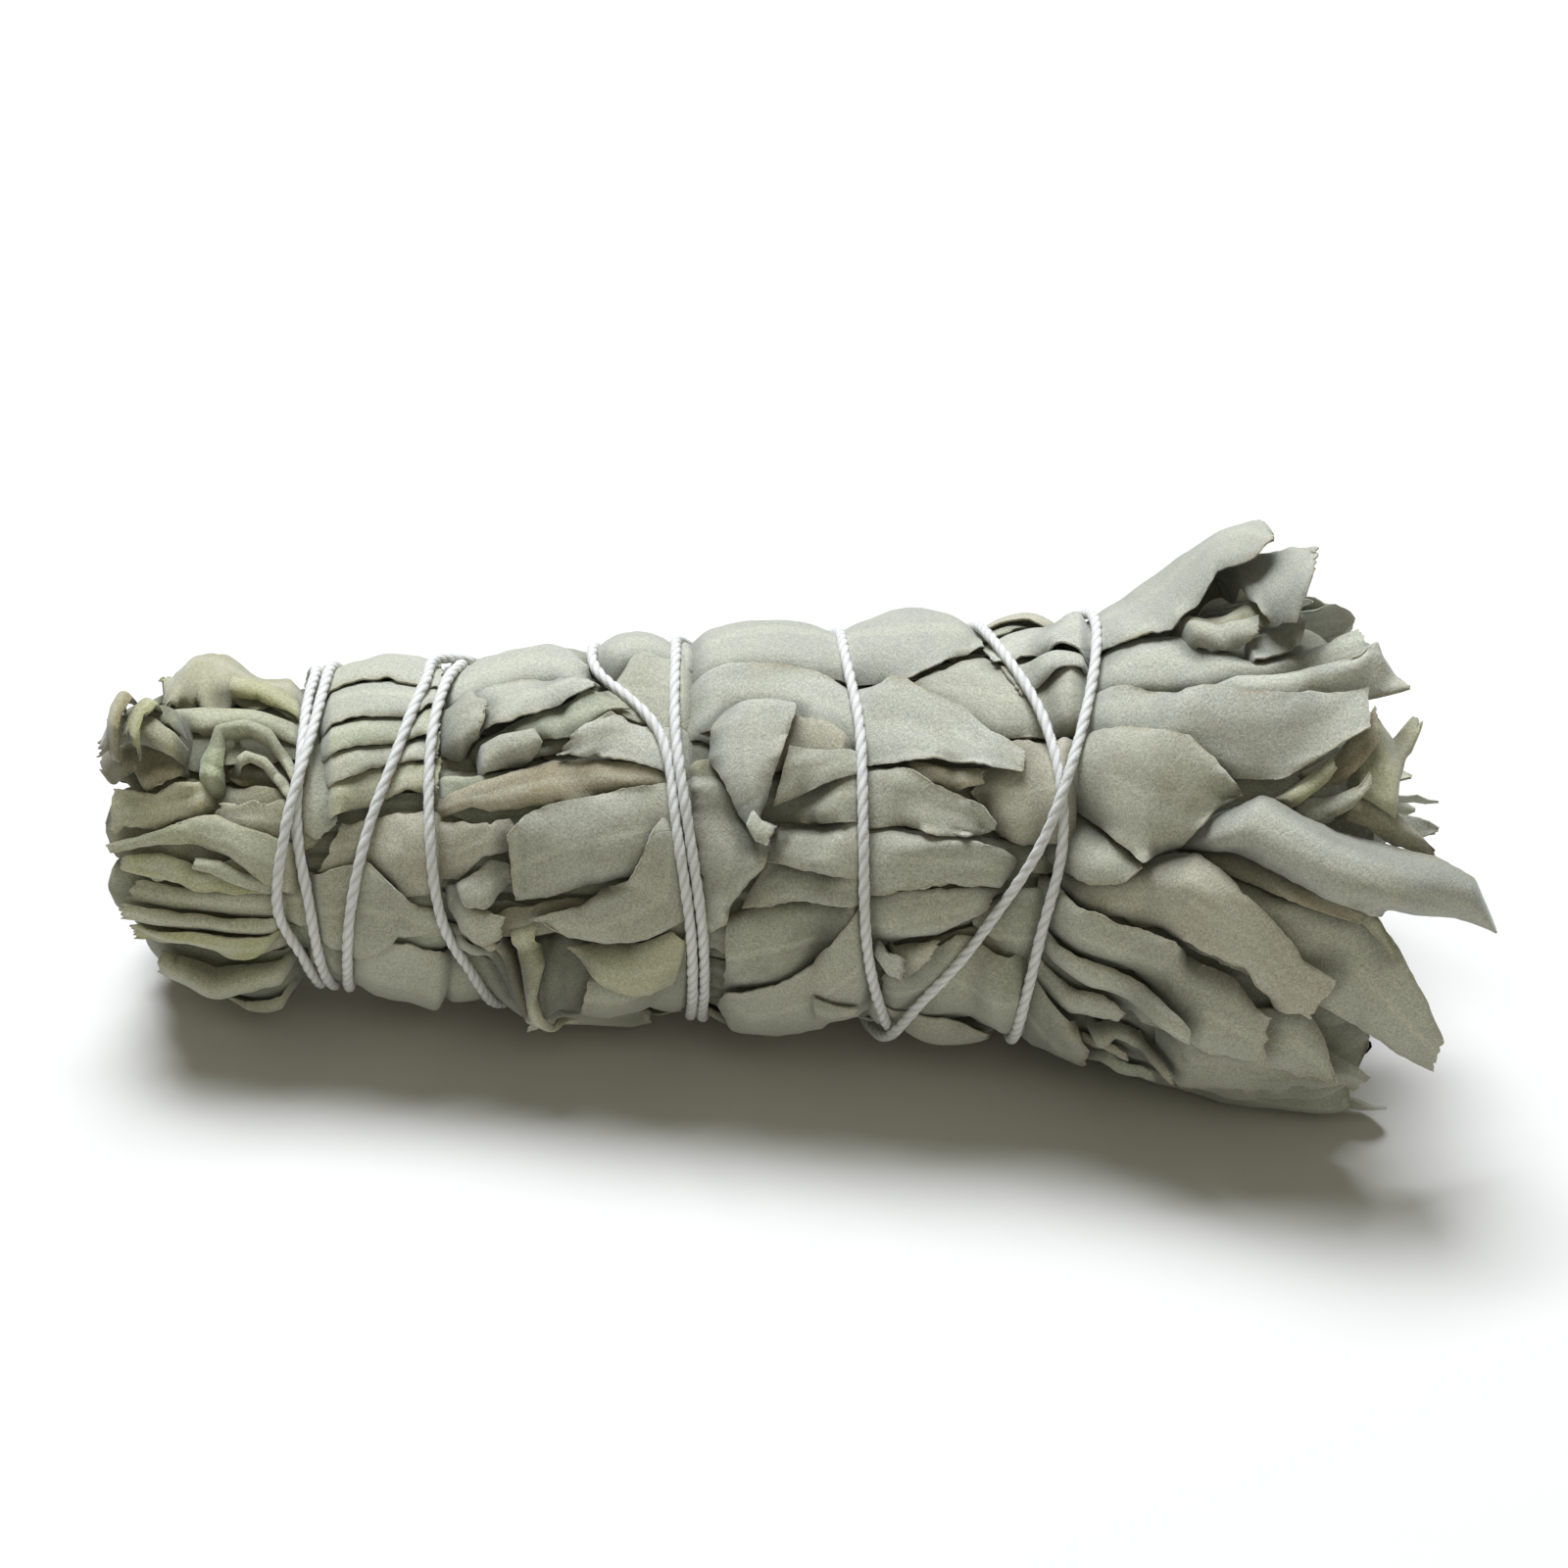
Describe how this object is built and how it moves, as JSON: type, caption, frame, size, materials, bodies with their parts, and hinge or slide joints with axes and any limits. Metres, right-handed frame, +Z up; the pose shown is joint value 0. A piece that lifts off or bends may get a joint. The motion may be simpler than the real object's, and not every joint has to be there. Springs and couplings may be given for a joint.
{
  "type": "sage smudge stick",
  "caption": "Bundle of dried white sage sprigs and leaves, narrow at the cut stems and flared at the leafy end, bound with criss-crossed cotton twine; lies on its side to be lit and smouldered.",
  "frame": {"origin": "centre of the bounding box at the surface that the stick lies on", "axes": "+X along the stick from the cut stems to the leaf tips, +Z up, -Y the side that the picture shows"},
  "size_m": [0.1104, 0.0458, 0.0445],
  "materials": {
    "dried_sage": "matte, velvety dried leaf",
    "cotton": "matte twisted cotton"
  },
  "bodies": {
    "root": {"back_1_1": "dried_sage", "back_1_2": "dried_sage", "back_1_3": "dried_sage", "back_2_1": "dried_sage", "back_2_2": "dried_sage", "back_2_3": "dried_sage", "back_3_1": "dried_sage", "back_3_2": "dried_sage", "back_3_3": "dried_sage", "back_4_1": "dried_sage", "back_4_2": "dried_sage", "back_4_3": "dried_sage", "belly_3": "dried_sage", "belly_4": "dried_sage", "belly_5": "dried_sage", "belly_broad": "dried_sage", "belly_low": "dried_sage", "belly_ridge": "dried_sage", "belly_top": "dried_sage", "cotton_twine": "cotton", "foot_broad": "dried_sage", "foot_crumpled": "dried_sage", "foot_low_1": "dried_sage", "foot_low_2": "dried_sage", "foot_mid": "dried_sage", "foot_top": "dried_sage", "foot_upper": "dried_sage", "head_back": "dried_sage", "head_broad": "dried_sage", "head_corner": "dried_sage", "head_crest": "dried_sage", "head_fan_1": "dried_sage", "head_fan_2": "dried_sage", "head_fan_3": "dried_sage", "head_low_1": "dried_sage", "head_low_2": "dried_sage", "head_point": "dried_sage", "head_roll": "dried_sage", "head_round": "dried_sage", "head_top": "dried_sage", "neck_broad": "dried_sage", "neck_low": "dried_sage", "neck_top": "dried_sage", "neck_upper": "dried_sage", "neck_wedge": "dried_sage", "side_broad": "dried_sage", "side_upper": "dried_sage", "side_wedge": "dried_sage", "sprig_1": "dried_sage", "sprig_2": "dried_sage", "sprig_3": "dried_sage", "sprig_4": "dried_sage", "sprig_5": "dried_sage", "sprig_6": "dried_sage", "sprig_heart": "dried_sage", "waist_hanging": "dried_sage", "waist_low_1": "dried_sage", "waist_mid": "dried_sage", "waist_ragged": "dried_sage"}
  },
  "joints": []
}
